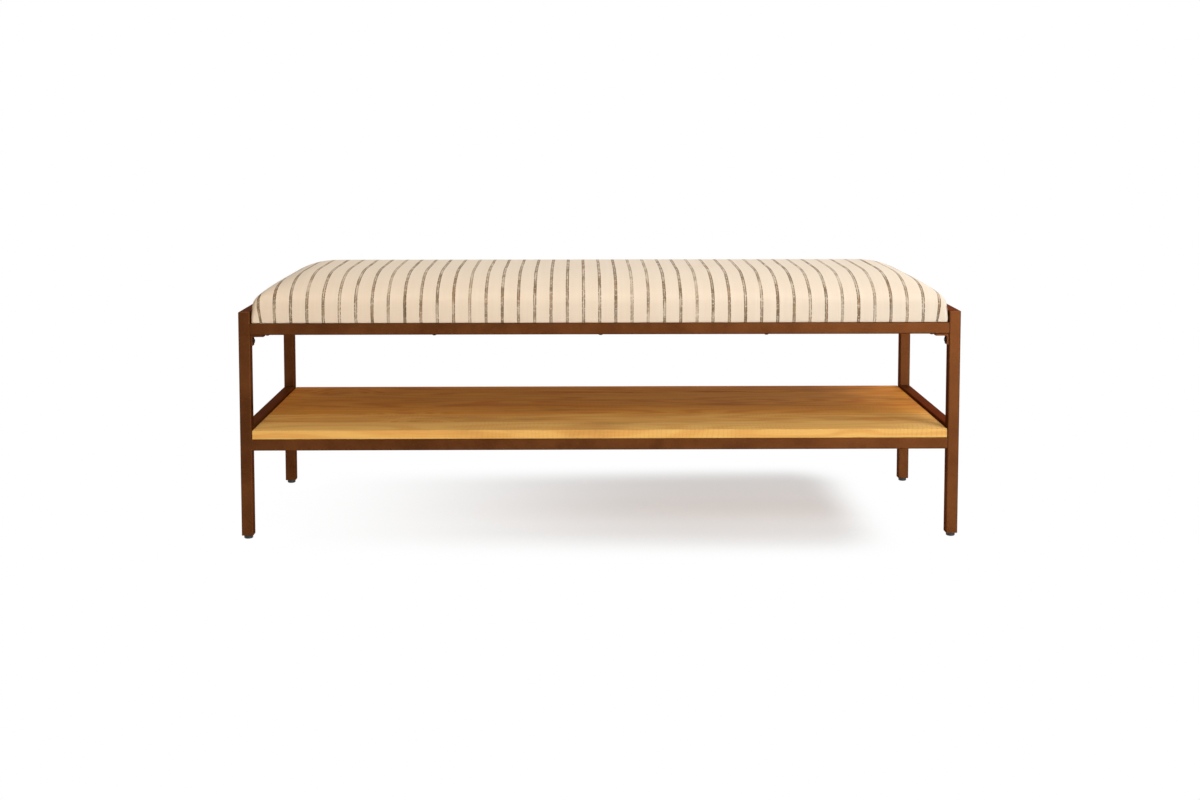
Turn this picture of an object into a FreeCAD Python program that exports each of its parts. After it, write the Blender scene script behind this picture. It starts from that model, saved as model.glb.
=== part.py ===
import FreeCAD, Part
import math
import os
import re

import Sketcher

# An upholstered bench: two end frames of square tube, joined by long rails that carry a crowned
# seat pad on top and a shelf of planks low down, on four screw feet. The long side runs along X,
# the front is at -Y, and the floor is at Z = 0. All sizes are in millimetres.

SIZES = {
    # Frame
    "overall_width": 1372,
    "overall_depth": 457,
    "frame_height": 437,
    "tube_size": 22,
    "tube_wall": 1.5,
    "tube_corner": 2,
    "shelf_rail_height": 171,
    # Corner brackets under the seat rails
    "bracket_thickness": 4,
    "bracket_width": 17,
    "bracket_reach": 25,
    "bracket_drop": 21,
    "bracket_bend": 2,
    "bolt_radius": 3,
    "bolt_head_radius": 5.2,
    "bolt_head_height": 3,
    "bolt_drop": 12.5,
    "bolt_tail": 1,
    "nut_side": 10,
    "nut_thickness": 5,
    # Wood screws of the seat and the shelf
    "screw_radius": 2.4,
    "screw_head_radius": 4.4,
    "screw_head_height": 2.4,
    "seat_screw_bite": 9,
    "seat_screw_margin": 31,
    "seat_screws_per_rail": 5,
    "plank_screw_bite": 11,
    "hole_clearance": 0.3,
    "thread_clearance": 0.05,
    # Seat pad
    "seat_end_gap": 1,
    "seat_front_inset": 1,
    "cover_thickness": 1.2,
    "cover_corner": 16,
    "crown_corner": 55,
    "side_draw": 3,
    "wall_height": 31,
    "crown_height": 88,
    "crown_run_end": 115,
    "crown_run_front": 168,
    "hem_width": 45,
    "soft_gap": 0.3,
    "board_thickness": 12,
    "dust_cover_thickness": 0.5,
    "dust_cover_margin": 3,
    "staple_wire": 0.9,
    "staple_crown": 10,
    "staple_leg": 7,
    "staple_margin": 8,
    "staples_long_side": 24,
    "staples_short_side": 8,
    # Shelf
    "plank_count": 6,
    "plank_thickness": 17,
    "plank_gap": 0.6,
    "plank_edge": 1,
    "shelf_end_gap": 1,
    "cross_bar_count": 3,
    "cross_bar_margin": 104,
    # Screw feet
    "plug_length": 25,
    "plug_clearance": 0.1,
    "stud_radius": 4,
    "stud_length": 33,
    "stud_head_radius": 5.5,
    "stud_head_thickness": 2,
    "pad_radius": 8.5,
    "pad_height": 6.7,
    "pad_sole": 2,
    "pad_bevel": 1,
    "foot_gap": 0.3,
    "running_clearance": 0.08,
}

# Lines that several pieces share, as formulas of the sizes above
LEG_X = "(overall_width - tube_size) / 2"
LEG_Y = "(overall_depth - tube_size) / 2"
LEG_BOTTOM = "(pad_height + foot_gap)"
LEG_LENGTH = f"(frame_height - {LEG_BOTTOM})"
INNER_HALF_WIDTH = "(overall_width / 2 - tube_size)"
INNER_HALF_DEPTH = "(overall_depth / 2 - tube_size)"
RAIL_LENGTH = f"(2 * {INNER_HALF_WIDTH})"
SEAT_RAIL_TOP = "(frame_height - tube_size)"
SEAT_RAIL_BOTTOM = "(frame_height - 2 * tube_size)"
SHELF_RAIL_TOP = "(shelf_rail_height + tube_size)"
BOARD_BOTTOM = f"({SEAT_RAIL_TOP} + cover_thickness)"
SEAT_HALF_LENGTH = f"({INNER_HALF_WIDTH} - seat_end_gap)"
SEAT_HALF_DEPTH = "(overall_depth / 2 - seat_front_inset)"
BOLT_HEIGHT = f"({SEAT_RAIL_BOTTOM} - bolt_drop)"
PLANK_WIDTH = "((overall_depth - (plank_count - 1) * plank_gap) / plank_count)"
PLANK_PITCH = f"({PLANK_WIDTH} + plank_gap)"
PLANK_ROWS_SPAN = f"((plank_count - 1) * {PLANK_PITCH})"
DUST_HALF_LENGTH = f"({SEAT_HALF_LENGTH} - tube_size - dust_cover_margin)"
DUST_HALF_DEPTH = f"({INNER_HALF_DEPTH} - dust_cover_margin)"
SEAT_SCREW_SPAN = f"({RAIL_LENGTH} - 2 * seat_screw_margin)"
CROSS_BAR_SPREAD = f"({RAIL_LENGTH} - 2 * cross_bar_margin)"
SCREW_HOLE = "(screw_radius + hole_clearance)"
SCREW_PILOT = "(screw_radius + thread_clearance)"

# Angles of the level lines on the seat's rounded shoulder, from its wall up to its crown
SHOULDER_ANGLES = (0, 15, 30, 45, 60, 75, 90)

# Two points closer than this are the same point
SAME_PLACE = 1e-6

ALONG_X = FreeCAD.Rotation(FreeCAD.Vector(0, 1, 0), 90)
ALONG_Y = FreeCAD.Rotation(FreeCAD.Vector(1, 0, 0), -90)
UPRIGHT = FreeCAD.Rotation()

doc = FreeCAD.newDocument("bench")
sheet = doc.addObject("Spreadsheet::Sheet", "sizes")
for row, (name, size) in enumerate(SIZES.items(), start=1):
    sheet.set(f"A{row}", name)
    sheet.set(f"B{row}", str(size))
    sheet.setAlias(f"B{row}", name)
doc.recompute()


def formula(text):
    """Points each size name in the text at its cell."""
    return re.sub(r"[a-z_]+", lambda word: f"sizes.{word[0]}" if word[0] in SIZES else word[0], text)


def value(text):
    """Works out a formula as a plain number."""
    return float(sheet.evalExpression(formula(text)))


def bind(feature, prop, text):
    feature.setExpression(prop, formula(text))


def new_body(label, base=("0", "0", "0"), rotation=UPRIGHT):
    """Starts a piece with its own label, turned and placed by formulas."""
    body = doc.addObject("PartDesign::Body", label)
    body.Label = label
    body.Placement = FreeCAD.Placement(FreeCAD.Vector(), rotation)
    for axis, place in zip("xyz", base):
        bind(body, f"Placement.Base.{axis}", place)
    return body


def origin_part(body, role):
    return next(part for part in body.Origin.OriginFeatures if part.Role == role)


def new_sketch(body, plane, height="0"):
    """Starts a sketch on one of the piece's own planes, lifted along its normal."""
    sketch = body.newObject("Sketcher::SketchObject", f"{body.Name}_sketch")
    sketch.AttachmentSupport = [(origin_part(body, plane), "")]
    sketch.MapMode = "FlatFace"
    bind(sketch, "AttachmentOffset.Base.z", height)
    return sketch


def constrain(sketch, text, kind, *targets):
    """Adds one dimension to a sketch and binds it to a formula."""
    index = sketch.addConstraint(Sketcher.Constraint(kind, *targets, value(text)))
    sketch.renameConstraint(index, f"size_{index}")
    bind(sketch, f"Constraints.size_{index}", text)


def fix_point(sketch, line, end, x, y):
    """Holds one point of a sketch at a place counted from the sketch's origin."""
    constrain(sketch, x, "DistanceX", -1, 1, line, end)
    constrain(sketch, y, "DistanceY", -1, 1, line, end)


def add_polygon(sketch, points):
    """Draws a closed outline through points, each given as two formulas."""
    corners = [FreeCAD.Vector(value(x), value(y), 0) for x, y in points]
    first = sketch.GeometryCount
    count = len(corners)
    for index, corner in enumerate(corners):
        sketch.addGeometry(Part.LineSegment(corner, corners[(index + 1) % count]))
    for index in range(count):
        following = first + (index + 1) % count
        sketch.addConstraint(Sketcher.Constraint("Coincident", first + index, 2, following, 1))
    for index, (x, y) in enumerate(points):
        fix_point(sketch, first + index, 1, x, y)


def add_rectangle(sketch, half_x, half_y):
    add_polygon(sketch, [
        (f"-{half_x}", f"-{half_y}"),
        (half_x, f"-{half_y}"),
        (half_x, half_y),
        (f"-{half_x}", half_y),
    ])


def add_circle(sketch, x, y, radius):
    centre = FreeCAD.Vector(value(x), value(y), 0)
    circle = sketch.addGeometry(Part.Circle(centre, FreeCAD.Vector(0, 0, 1), value(radius)))
    fix_point(sketch, circle, 3, x, y)
    constrain(sketch, radius, "Radius", circle)


def add_round_rectangle(sketch, half_x, half_y, corner):
    """Draws a rectangle with quarter-round corners, centred on the sketch's origin."""
    reach_x = f"({half_x} - {corner})"
    reach_y = f"({half_y} - {corner})"
    radius = value(corner)
    quarters = ((1, 1, 0), (-1, 1, 90), (-1, -1, 180), (1, -1, 270))
    centres = [FreeCAD.Vector(sx * value(reach_x), sy * value(reach_y), 0) for sx, sy, _ in quarters]
    first = sketch.GeometryCount
    for centre, (_, _, start) in zip(centres, quarters):
        whole = Part.Circle(centre, FreeCAD.Vector(0, 0, 1), radius)
        sketch.addGeometry(Part.ArcOfCircle(whole, math.radians(start), math.radians(start + 90)))
    for index in range(4):
        here = sketch.Geometry[first + index].EndPoint
        there = sketch.Geometry[first + (index + 1) % 4].StartPoint
        side = sketch.addGeometry(Part.LineSegment(here, there))
        sketch.addConstraint(Sketcher.Constraint("Tangent", first + index, 2, side, 1))
        sketch.addConstraint(Sketcher.Constraint("Tangent", side, 2, first + (index + 1) % 4, 1))
    for index, (sx, sy, _) in enumerate(quarters):
        fix_point(sketch, first + index, 3, f"{sx} * {reach_x}", f"{sy} * {reach_y}")
        constrain(sketch, corner, "Radius", first + index)


def add_pad(body, sketch, length, symmetric=False):
    pad = body.newObject("PartDesign::Pad", f"{body.Name}_pad")
    pad.Profile = sketch
    pad.SideType = "Symmetric" if symmetric else "One side"
    bind(pad, "Length", length)
    return pad


def cut_through(body, sketch, both_ways=True, reverse=False):
    """Cuts an outline right through the piece, both ways or to one side of its sketch."""
    before = solid_volume(body)
    pocket = body.newObject("PartDesign::Pocket", f"{body.Name}_cut")
    pocket.Profile = sketch
    pocket.SideType = "Symmetric" if both_ways else "One side"
    pocket.Type = "ThroughAll"
    pocket.Reversed = reverse
    confirm_cut(body, before)
    return pocket


def cut_blind(body, sketch, depth):
    """Cuts an outline upward into the piece, against the sketch's own cutting direction."""
    before = solid_volume(body)
    pocket = body.newObject("PartDesign::Pocket", f"{body.Name}_pilot")
    pocket.Profile = sketch
    pocket.Reversed = True
    bind(pocket, "Length", depth)
    confirm_cut(body, before)
    return pocket


def solid_volume(body):
    doc.recompute()
    return body.Shape.Volume


def confirm_cut(body, before):
    if solid_volume(body) >= before:
        raise RuntimeError(f"a cut in {body.Label} removes nothing")


def revolve(body, sketch, axis):
    turned = body.newObject("PartDesign::Revolution", f"{body.Name}_turned")
    turned.Profile = sketch
    turned.ReferenceAxis = (sketch, [axis])
    turned.Angle = 360
    return turned


def repeat(body, feature, axis, span, count, second=None):
    """Repeats a feature evenly along one of the piece's axes, or along two."""
    pattern = body.newObject("PartDesign::LinearPattern", f"{body.Name}_row")
    pattern.Originals = [feature]
    pattern.Direction = (origin_part(body, axis), [""])
    bind(pattern, "Length", span)
    bind(pattern, "Occurrences", count)
    if second:
        second_axis, second_span, second_count = second
        pattern.Direction2 = (origin_part(body, second_axis), [""])
        bind(pattern, "Length2", second_span)
        bind(pattern, "Occurrences2", second_count)
    body.Tip = pattern
    doc.recompute()
    return pattern


def mirror_to_corners(body, feature):
    """Repeats a feature of the front left corner at the other three corners."""
    corners = body.newObject("PartDesign::MultiTransform", f"{body.Name}_corners")
    corners.Originals = [feature]
    flips = []
    for plane in ("YZ_Plane", "XZ_Plane"):
        flip = body.newObject("PartDesign::Mirrored", f"{body.Name}_flip")
        flip.MirrorPlane = (origin_part(body, plane), [""])
        flips.append(flip)
    corners.Transformations = flips
    body.Tip = corners
    doc.recompute()


def round_edges(body, wanted, radius):
    """Rounds the straight edges of a piece whose two end points pass a test."""
    doc.recompute()
    base = body.Tip
    names = [
        f"Edge{index}"
        for index, edge in enumerate(base.Shape.Edges, start=1)
        if len(edge.Vertexes) == 2 and wanted(*(vertex.Point for vertex in edge.Vertexes))
    ]
    fillet = body.newObject("PartDesign::Fillet", f"{body.Name}_round")
    fillet.Base = (base, names)
    bind(fillet, "Radius", radius)


def near(left, right):
    return math.isclose(left, right, abs_tol=SAME_PLACE)


def square_tube(label, length, base, rotation):
    """A length of square tube along its own Z axis, hollow, with rounded outer corners."""
    body = new_body(label, base, rotation)
    section = new_sketch(body, "XY_Plane")
    add_rectangle(section, "tube_size / 2", "tube_size / 2")
    add_rectangle(section, "(tube_size / 2 - tube_wall)", "(tube_size / 2 - tube_wall)")
    add_pad(body, section, length)
    half = value("tube_size / 2")

    def outer_corner(start, finish):
        along = near(start.x, finish.x) and near(start.y, finish.y)
        return along and near(abs(start.x), half) and near(abs(start.y), half)

    round_edges(body, outer_corner, "tube_corner")
    return body


def make_leg(label, side, end):
    """A leg: mitred at the top towards the end rail, with a bolt hole for its bracket."""
    body = square_tube(label, LEG_LENGTH, (f"{side} * {LEG_X}", f"{end} * {LEG_Y}", LEG_BOTTOM), UPRIGHT)
    mitre = new_sketch(body, "YZ_Plane")
    outer = f"{end} * tube_size / 2"
    inner = f"{-end} * tube_size / 2"
    add_polygon(mitre, [(outer, LEG_LENGTH), (inner, LEG_LENGTH), (inner, f"{LEG_LENGTH} - tube_size")])
    cut_through(body, mitre)
    hole = new_sketch(body, "YZ_Plane")
    add_circle(hole, "0", f"{BOLT_HEIGHT} - {LEG_BOTTOM}", "bolt_radius + hole_clearance")
    cut_through(body, hole, both_ways=False, reverse=side < 0)


def make_top_end_rail(label, side):
    """The rail across the top of an end frame, mitred at both ends to meet the legs."""
    height = "frame_height - tube_size / 2"
    body = square_tube(label, "overall_depth", (f"{side} * {LEG_X}", "-overall_depth / 2", height), ALONG_Y)
    top = "-tube_size / 2"
    bottom = "tube_size / 2"
    for tip, heel in (("0", "tube_size"), ("overall_depth", "overall_depth - tube_size")):
        mitre = new_sketch(body, "YZ_Plane")
        add_polygon(mitre, [(top, tip), (bottom, tip), (bottom, heel)])
        cut_through(body, mitre)


def make_shelf_end_rail(label, side):
    """The lower rail of an end frame, butted between the legs beside the shelf's end."""
    height = f"{SHELF_RAIL_TOP} + tube_size / 2"
    base = (f"{side} * {LEG_X}", f"-{INNER_HALF_DEPTH}", height)
    square_tube(label, f"2 * {INNER_HALF_DEPTH}", base, ALONG_Y)


def make_seat_rail(label, end):
    """A long rail under the seat, drilled through for the seat screws."""
    height = f"{SEAT_RAIL_TOP} - tube_size / 2"
    body = square_tube(label, RAIL_LENGTH, (f"-{INNER_HALF_WIDTH}", f"{end} * {LEG_Y}", height), ALONG_X)
    hole = new_sketch(body, "YZ_Plane")
    add_circle(hole, "0", "seat_screw_margin", SCREW_HOLE)
    repeat(body, cut_through(body, hole), "Z_Axis", SEAT_SCREW_SPAN, "seat_screws_per_rail")


def make_shelf_rail(label, end):
    """A long rail under the front or back plank."""
    height = f"{SHELF_RAIL_TOP} - tube_size / 2"
    square_tube(label, RAIL_LENGTH, (f"-{INNER_HALF_WIDTH}", f"{end} * {LEG_Y}", height), ALONG_X)


def make_cross_bar(label, place):
    """A bar between the shelf rails that carries the planks, drilled once for each plank."""
    height = f"{SHELF_RAIL_TOP} - tube_size / 2"
    body = square_tube(label, f"2 * {INNER_HALF_DEPTH}", (place, f"-{INNER_HALF_DEPTH}", height), ALONG_Y)
    hole = new_sketch(body, "XZ_Plane")
    add_circle(hole, "0", f"{INNER_HALF_DEPTH} - {PLANK_ROWS_SPAN} / 2", SCREW_HOLE)
    repeat(body, cut_through(body, hole), "Z_Axis", PLANK_ROWS_SPAN, "plank_count")


def make_bracket(label, side, end):
    """An angle bracket: one arm under the seat rail, the other bolted to the leg."""
    base = (f"{side} * {INNER_HALF_WIDTH}", f"{end} * {LEG_Y}", SEAT_RAIL_BOTTOM)
    body = new_body(label, base)
    profile = new_sketch(body, "XZ_Plane")
    reach = f"{-side} * bracket_reach"
    thick = f"{-side} * bracket_thickness"
    add_polygon(profile, [
        ("0", "0"),
        (reach, "0"),
        (reach, "-bracket_thickness"),
        (thick, "-bracket_thickness"),
        (thick, "-bracket_drop"),
        ("0", "-bracket_drop"),
    ])
    add_pad(body, profile, "bracket_width", symmetric=True)
    bend_x = value(thick)
    bend_z = -value("bracket_thickness")

    def inner_bend(start, finish):
        return all(near(point.x, bend_x) and near(point.z, bend_z) for point in (start, finish))

    round_edges(body, inner_bend, "bracket_bend")
    hole = new_sketch(body, "YZ_Plane")
    add_circle(hole, "0", "-bolt_drop", "bolt_radius + hole_clearance")
    cut_through(body, hole)


def make_bracket_bolts():
    """Domed bolts through the brackets into the legs, one at each corner."""
    body = new_body("bracket_bolts", ("0", "0", BOLT_HEIGHT))
    profile = new_sketch(body, "XZ_Plane", LEG_Y)
    seat = f"-{INNER_HALF_WIDTH} + bracket_thickness"
    crown = f"{seat} + bolt_head_height"
    tip = f"-{INNER_HALF_WIDTH} - tube_wall - nut_thickness - bolt_tail"
    add_polygon(profile, [
        (tip, "0"),
        (crown, "0"),
        (crown, "bolt_head_radius / 2"),
        (f"{seat} + bolt_head_height / 2", "bolt_head_radius"),
        (seat, "bolt_head_radius"),
        (seat, "bolt_radius"),
        (tip, "bolt_radius"),
    ])
    mirror_to_corners(body, revolve(body, profile, "H_Axis"))


def make_bracket_nuts():
    """Square nuts welded to the inner wall of the legs behind the bracket bolts."""
    body = new_body("bracket_nuts", ("0", "0", BOLT_HEIGHT))
    face = new_sketch(body, "YZ_Plane", f"-{INNER_HALF_WIDTH} - tube_wall - nut_thickness")
    back = f"(-{LEG_Y} - nut_side / 2)"
    front = f"(-{LEG_Y} + nut_side / 2)"
    top = "nut_side / 2"
    add_polygon(face, [(back, f"-{top}"), (front, f"-{top}"), (front, top), (back, top)])
    add_circle(face, f"-{LEG_Y}", "0", "bolt_radius + thread_clearance")
    mirror_to_corners(body, add_pad(body, face, "nut_thickness"))


def add_screw(sketch, length):
    """Draws half of a domed screw, its head below the origin and its shank above."""
    add_polygon(sketch, [
        ("0", "-screw_head_height"),
        ("screw_head_radius / 2", "-screw_head_height"),
        ("screw_head_radius", "-screw_head_height / 2"),
        ("screw_head_radius", "0"),
        ("screw_radius", "0"),
        ("screw_radius", f"{length} - screw_radius"),
        ("0", length),
    ])


def make_seat_screws():
    """Domed screws up through the seat rails into the seat board."""
    body = new_body("seat_screws", (f"-{SEAT_SCREW_SPAN} / 2", f"-{LEG_Y}", SEAT_RAIL_BOTTOM))
    profile = new_sketch(body, "XZ_Plane")
    add_screw(profile, "(tube_size + cover_thickness + seat_screw_bite)")
    rows = ("Y_Axis", f"2 * {LEG_Y}", "2")
    repeat(body, revolve(body, profile, "V_Axis"), "X_Axis", SEAT_SCREW_SPAN, "seat_screws_per_rail", rows)


def make_shelf_screws():
    """Domed screws up through the cross bars into the planks."""
    base = (f"-{CROSS_BAR_SPREAD} / 2", f"-{PLANK_ROWS_SPAN} / 2", "shelf_rail_height")
    body = new_body("shelf_screws", base)
    profile = new_sketch(body, "XZ_Plane")
    add_screw(profile, "(tube_size + plank_screw_bite)")
    rows = ("Y_Axis", PLANK_ROWS_SPAN, "plank_count")
    repeat(body, revolve(body, profile, "V_Axis"), "X_Axis", CROSS_BAR_SPREAD, "cross_bar_count", rows)


def make_plank(label, place):
    """One shelf plank, its upper edges eased, with a pilot hole over each cross bar."""
    body = new_body(label, ("0", place, SHELF_RAIL_TOP))
    outline = new_sketch(body, "XY_Plane")
    add_rectangle(outline, f"({INNER_HALF_WIDTH} - shelf_end_gap)", f"{PLANK_WIDTH} / 2")
    add_pad(body, outline, "plank_thickness")
    top = value("plank_thickness")
    round_edges(body, lambda start, finish: near(start.z, top) and near(finish.z, top), "plank_edge")
    pilot = new_sketch(body, "XY_Plane")
    add_circle(pilot, f"-{CROSS_BAR_SPREAD} / 2", "0", SCREW_PILOT)
    hole = cut_blind(body, pilot, "plank_screw_bite + thread_clearance")
    repeat(body, hole, "X_Axis", CROSS_BAR_SPREAD, "cross_bar_count")


def make_leg_plug(label, side, end):
    """A square plug in the leg's open end, threaded for the stud of the foot."""
    body = new_body(label, (f"{side} * {LEG_X}", f"{end} * {LEG_Y}", LEG_BOTTOM))
    section = new_sketch(body, "XY_Plane")
    half = "(tube_size / 2 - tube_wall - plug_clearance)"
    add_rectangle(section, half, half)
    add_circle(section, "0", "0", "stud_radius + running_clearance")
    add_pad(body, section, "plug_length")


def make_foot_stud(label, side, end):
    """The threaded stud of a foot, with a flat head held inside the pad."""
    body = new_body(label, (f"{side} * {LEG_X}", f"{end} * {LEG_Y}", "pad_sole + running_clearance"))
    profile = new_sketch(body, "XZ_Plane")
    add_polygon(profile, [
        ("0", "0"),
        ("stud_head_radius", "0"),
        ("stud_head_radius", "stud_head_thickness"),
        ("stud_radius", "stud_head_thickness"),
        ("stud_radius", "stud_length"),
        ("0", "stud_length"),
    ])
    revolve(body, profile, "V_Axis")


def make_foot_pad(label, side, end):
    """The round pad that meets the floor, hollowed for the stud's head."""
    body = new_body(label, (f"{side} * {LEG_X}", f"{end} * {LEG_Y}", "0"))
    profile = new_sketch(body, "XZ_Plane")
    neck = "stud_radius + running_clearance"
    pocket = "stud_head_radius + running_clearance"
    ceiling = "pad_sole + stud_head_thickness + 2 * running_clearance"
    add_polygon(profile, [
        ("0", "0"),
        ("pad_radius - pad_bevel", "0"),
        ("pad_radius", "pad_bevel"),
        ("pad_radius", "pad_height"),
        (neck, "pad_height"),
        (neck, ceiling),
        (pocket, ceiling),
        (pocket, "pad_sole"),
        ("0", "pad_sole"),
    ])
    revolve(body, profile, "V_Axis")


def seat_levels(inset, floor):
    """Level lines of the seat's form, drawn in by an inset and starting at a floor.

    Each one is a half length, a half depth, a corner radius and a height above the seat rails.
    The wall starts drawn in, and the shoulder above it follows a quarter of an ellipse.
    """
    half_length = f"{SEAT_HALF_LENGTH} - {inset}"
    half_depth = f"{SEAT_HALF_DEPTH} - {inset}"
    corner = f"cover_corner - {inset}"
    levels = [
        (f"({half_length} - side_draw)", f"({half_depth} - side_draw)", f"({corner})", floor),
        (f"({half_length})", f"({half_depth})", f"({corner})", f"({floor} + wall_height) / 2"),
    ]
    rise = f"(crown_height - {inset} - wall_height)"
    for angle in SHOULDER_ANGLES:
        turn = f"(1 - cos({angle} deg))"
        levels.append((
            f"({half_length} - crown_run_end * {turn})",
            f"({half_depth} - crown_run_front * {turn})",
            f"({corner} + (crown_corner - cover_corner) * {turn})",
            f"wall_height + {rise} * sin({angle} deg)",
        ))
    return levels


def add_seat_form(body, kind, inset, floor):
    """Lofts the seat's form through its level lines, as a solid or as a cut."""
    sketches = []
    for half_length, half_depth, corner, height in seat_levels(inset, floor):
        sketch = new_sketch(body, "XY_Plane", height)
        add_round_rectangle(sketch, half_length, half_depth, corner)
        sketches.append(sketch)
    loft = body.newObject(f"PartDesign::{kind}", f"{body.Name}_form")
    loft.Profile = sketches[0]
    loft.Sections = sketches[1:]
    loft.Ruled = True
    doc.recompute()


def add_seat_screw_holes(body, radius, depth):
    """Cuts the two rows of seat screw holes upward from the piece's underside."""
    sketch = new_sketch(body, "XY_Plane")
    add_circle(sketch, f"-{SEAT_SCREW_SPAN} / 2", f"-{LEG_Y}", radius)
    rows = ("Y_Axis", f"2 * {LEG_Y}", "2")
    hole = cut_blind(body, sketch, depth)
    repeat(body, hole, "X_Axis", SEAT_SCREW_SPAN, "seat_screws_per_rail", rows)


def make_seat_board():
    """The plywood board inside the seat, with pilot holes for the seat screws."""
    body = new_body("seat_board", ("0", "0", BOARD_BOTTOM))
    outline = new_sketch(body, "XY_Plane")
    inset = "(cover_thickness + soft_gap + side_draw)"
    half_length = f"({SEAT_HALF_LENGTH} - {inset})"
    half_depth = f"({SEAT_HALF_DEPTH} - {inset})"
    add_round_rectangle(outline, half_length, half_depth, "(cover_corner - cover_thickness - soft_gap)")
    add_pad(body, outline, "board_thickness")
    add_seat_screw_holes(body, SCREW_PILOT, "seat_screw_bite + thread_clearance")


def make_seat_foam():
    """The crowned foam block on the board."""
    body = new_body("seat_foam", ("0", "0", SEAT_RAIL_TOP))
    add_seat_form(body, "AdditiveLoft", "(cover_thickness + soft_gap)", "(cover_thickness + board_thickness)")


def make_seat_cover():
    """The cloth cover over the foam, turned under the board as a hem."""
    body = new_body("seat_cover", ("0", "0", SEAT_RAIL_TOP))
    add_seat_form(body, "AdditiveLoft", "0", "0")
    add_seat_form(body, "SubtractiveLoft", "cover_thickness", "cover_thickness")
    opening = new_sketch(body, "XY_Plane")
    add_rectangle(opening, f"({SEAT_HALF_LENGTH} - hem_width)", f"({SEAT_HALF_DEPTH} - hem_width)")
    cut_blind(body, opening, "2 * cover_thickness")
    add_seat_screw_holes(body, SCREW_HOLE, "2 * cover_thickness")


def make_dust_cover():
    """The thin sheet that closes the underside of the seat between the rails."""
    body = new_body("dust_cover", ("0", "0", f"{SEAT_RAIL_TOP} - dust_cover_thickness"))
    outline = new_sketch(body, "XY_Plane")
    add_rectangle(outline, DUST_HALF_LENGTH, DUST_HALF_DEPTH)
    add_pad(body, outline, "dust_cover_thickness")


def add_staple(body, plane, across, start):
    """One staple: its crown below the dust cover and its two legs up in the board."""
    profile = new_sketch(body, plane, across)
    finish = f"{start} + staple_crown"
    add_polygon(profile, [
        (start, "-staple_wire"),
        (finish, "-staple_wire"),
        (finish, "staple_leg"),
        (f"{finish} - staple_wire", "staple_leg"),
        (f"{finish} - staple_wire", "0"),
        (f"{start} + staple_wire", "0"),
        (f"{start} + staple_wire", "staple_leg"),
        (start, "staple_leg"),
    ])
    return add_pad(body, profile, "staple_wire", symmetric=True)


def make_staples():
    """Staples round the edge of the dust cover, through the hem into the board."""
    body = new_body("staples", ("0", "0", f"{SEAT_RAIL_TOP} - dust_cover_thickness"))
    line_x = f"({DUST_HALF_LENGTH} - staple_margin)"
    line_y = f"({DUST_HALF_DEPTH} - staple_margin)"
    long_start = f"(2 * staple_margin - {DUST_HALF_LENGTH})"
    short_start = f"(2 * staple_margin - {DUST_HALF_DEPTH})"
    staple = add_staple(body, "XZ_Plane", line_y, long_start)
    span = f"(2 * {DUST_HALF_LENGTH} - 4 * staple_margin - staple_crown)"
    repeat(body, staple, "X_Axis", span, "staples_long_side", ("Y_Axis", f"2 * {line_y}", "2"))
    staple = add_staple(body, "YZ_Plane", f"-{line_x}", short_start)
    span = f"(2 * {DUST_HALF_DEPTH} - 4 * staple_margin - staple_crown)"
    repeat(body, staple, "Y_Axis", span, "staples_short_side", ("X_Axis", f"2 * {line_x}", "2"))


def spaced(count, span):
    """Formulas for places spread evenly over a span about the middle."""
    return [f"{span} * {index} / {count - 1} - {span} / 2" for index in range(count)]


def make_frame():
    for side_name, side in (("left", -1), ("right", 1)):
        make_top_end_rail(f"{side_name}_top_end_rail", side)
        make_shelf_end_rail(f"{side_name}_shelf_end_rail", side)
        for end_name, end in (("front", -1), ("back", 1)):
            corner = f"{end_name}_{side_name}"
            make_leg(f"{corner}_leg", side, end)
            make_bracket(f"{corner}_bracket", side, end)
            make_leg_plug(f"{corner}_leg_plug", side, end)
            make_foot_stud(f"{corner}_foot_stud", side, end)
            make_foot_pad(f"{corner}_foot_pad", side, end)
    for end_name, end in (("front", -1), ("back", 1)):
        make_seat_rail(f"{end_name}_seat_rail", end)
        make_shelf_rail(f"{end_name}_shelf_rail", end)
    make_bracket_bolts()
    make_bracket_nuts()


def make_shelf():
    bars = int(value("cross_bar_count"))
    planks = int(value("plank_count"))
    for number, place in enumerate(spaced(bars, CROSS_BAR_SPREAD), start=1):
        make_cross_bar(f"shelf_cross_bar_{number}", place)
    for number, place in enumerate(spaced(planks, PLANK_ROWS_SPAN), start=1):
        make_plank(f"shelf_plank_{number}", place)
    make_shelf_screws()


def make_seat():
    make_seat_board()
    make_seat_foam()
    make_seat_cover()
    make_dust_cover()
    make_staples()
    make_seat_screws()


def check_document():
    """Stops if any object failed or any piece has no sound shape."""
    for item in doc.Objects:
        if "Invalid" in item.State or "Error" in item.State:
            raise RuntimeError(f"{item.Label} failed: {item.State}")
    for piece in pieces():
        if piece.Shape.isNull() or not piece.Shape.isValid():
            raise RuntimeError(f"{piece.Label} has no sound shape")


def pieces():
    return [item for item in doc.Objects if item.TypeId == "PartDesign::Body"]


make_frame()
make_shelf()
make_seat()
doc.recompute()
check_document()
os.makedirs("parts", exist_ok=True)
for piece in pieces():
    piece.Shape.exportStep(f"parts/{piece.Label}.step")
    print(piece.Label, len(piece.Shape.Solids), round(piece.Shape.Volume, 1))
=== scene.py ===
import math

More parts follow.
